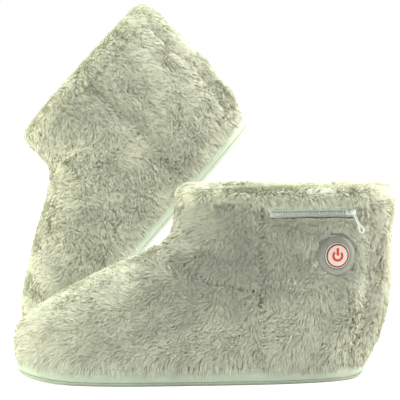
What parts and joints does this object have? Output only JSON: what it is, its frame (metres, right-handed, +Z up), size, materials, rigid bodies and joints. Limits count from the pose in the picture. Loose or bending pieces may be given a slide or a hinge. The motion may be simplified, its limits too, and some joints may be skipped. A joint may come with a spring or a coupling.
{
  "type": "electric foot warmer",
  "caption": "Pair of plush slipper boots with a heated footbed, a zipped battery pocket and a round heating button on each outer side; one stands flat, the other on its toe.",
  "frame": {"origin": "middle of the left boot's flat sole, on the floor that the pair stands on", "axes": "+X from the left boot's toe to its heel, +Z up, -Y towards the left boot's outer side, the side with the zip and the button"},
  "size_m": [0.3124, 0.3805, 0.3196],
  "materials": {
    "pile": "matte",
    "lining_pile": "matte",
    "collar_pile": "matte",
    "outsole": "matte",
    "midsole": "matte",
    "board": "matte",
    "foam": "matte",
    "carbon_cloth": "matte",
    "heating_wire": "matte",
    "stiffener": "matte",
    "zip_tape": "matte",
    "zip_metal": "satin",
    "pocket_cloth": "matte",
    "pack_shell": "matte",
    "cell_foil": "satin",
    "circuit_board": "satin",
    "bezel": "gloss",
    "cap": "satin",
    "lead_rubber": "matte"
  },
  "bodies": {
    "left_boot": {"left_outsole": "outsole", "left_midsole": "midsole", "left_insole_board": "board", "left_footbed_foam": "foam", "left_heating_pad": "carbon_cloth", "left_heating_wire": "heating_wire", "left_insole_cover": "lining_pile", "left_vamp": "pile", "left_shaft_front": "pile", "left_lateral_quarter": "pile", "left_medial_quarter": "pile", "left_heel_panel": "pile", "left_heel_counter": "stiffener", "left_foot_lining": "lining_pile", "left_collar_band": "collar_pile", "left_zip_tape_upper": "zip_tape", "left_zip_tape_lower": "zip_tape", "left_zip_end_stop": "zip_metal", "left_pocket_bag": "pocket_cloth", "left_battery_case": "pack_shell", "left_battery_cover": "pack_shell", "left_battery_cell": "cell_foil", "left_battery_board": "circuit_board", "left_button_housing": "bezel", "left_switch_board": "circuit_board", "left_battery_lead": "lead_rubber", "left_heater_lead": "lead_rubber"},
    "left_zip_slider": {"left_zip_slider": "zip_metal"},
    "left_zip_pull": {"left_zip_pull": "zip_metal"},
    "left_heating_button": {"left_button_cap": "cap"},
    "right_boot": {"right_outsole": "outsole", "right_midsole": "midsole", "right_insole_board": "board", "right_footbed_foam": "foam", "right_heating_pad": "carbon_cloth", "right_heating_wire": "heating_wire", "right_insole_cover": "lining_pile", "right_vamp": "pile", "right_shaft_front": "pile", "right_lateral_quarter": "pile", "right_medial_quarter": "pile", "right_heel_panel": "pile", "right_heel_counter": "stiffener", "right_foot_lining": "lining_pile", "right_collar_band": "collar_pile", "right_zip_tape_upper": "zip_tape", "right_zip_tape_lower": "zip_tape", "right_zip_end_stop": "zip_metal", "right_pocket_bag": "pocket_cloth", "right_battery_case": "pack_shell", "right_battery_cover": "pack_shell", "right_battery_cell": "cell_foil", "right_battery_board": "circuit_board", "right_button_housing": "bezel", "right_switch_board": "circuit_board", "right_battery_lead": "lead_rubber", "right_heater_lead": "lead_rubber"},
    "right_zip_slider": {"right_zip_slider": "zip_metal"},
    "right_zip_pull": {"right_zip_pull": "zip_metal"},
    "right_heating_button": {"right_button_cap": "cap"}
  },
  "joints": [
    {"name": "left_zip_slide", "type": "slide", "parent": "left_boot", "child": "left_zip_slider", "axis": [-0.9951, -0.0984, 0], "range_m": [0, 0.0609]},
    {"name": "left_zip_pull_swing", "type": "hinge", "parent": "left_zip_slider", "child": "left_zip_pull", "pos_m": [0.12912, -0.04591, 0.1407], "axis": [0.0984, -0.9951, 0], "range_deg": [-110, 60]},
    {"name": "left_heating_button_press", "type": "slide", "parent": "left_boot", "child": "left_heating_button", "axis": [-0.2093, 0.9775, 0.0277], "range_m": [0, 0.001], "stiffness_N_per_m": 1500, "springref_m": -0.0005},
    {"name": "right_boot_lift", "type": "slide", "parent": "left_boot", "child": "right_boot", "axis": [0, 0, 1], "range_m": [0, 0.25]},
    {"name": "right_zip_slide", "type": "slide", "parent": "right_boot", "child": "right_zip_slider", "axis": [-0.6545, -0.1855, -0.733], "range_m": [0, 0.0609]},
    {"name": "right_zip_pull_swing", "type": "hinge", "parent": "right_zip_slider", "child": "right_zip_pull", "pos_m": [-0.04831, 0.32533, 0.27199], "axis": [-0.0799, 0.981, -0.1769], "range_deg": [-110, 60]},
    {"name": "right_heating_button_press", "type": "slide", "parent": "right_boot", "child": "right_heating_button", "axis": [-0.0148, -0.9936, 0.1117], "range_m": [0, 0.001], "stiffness_N_per_m": 1500, "springref_m": -0.0005}
  ]
}
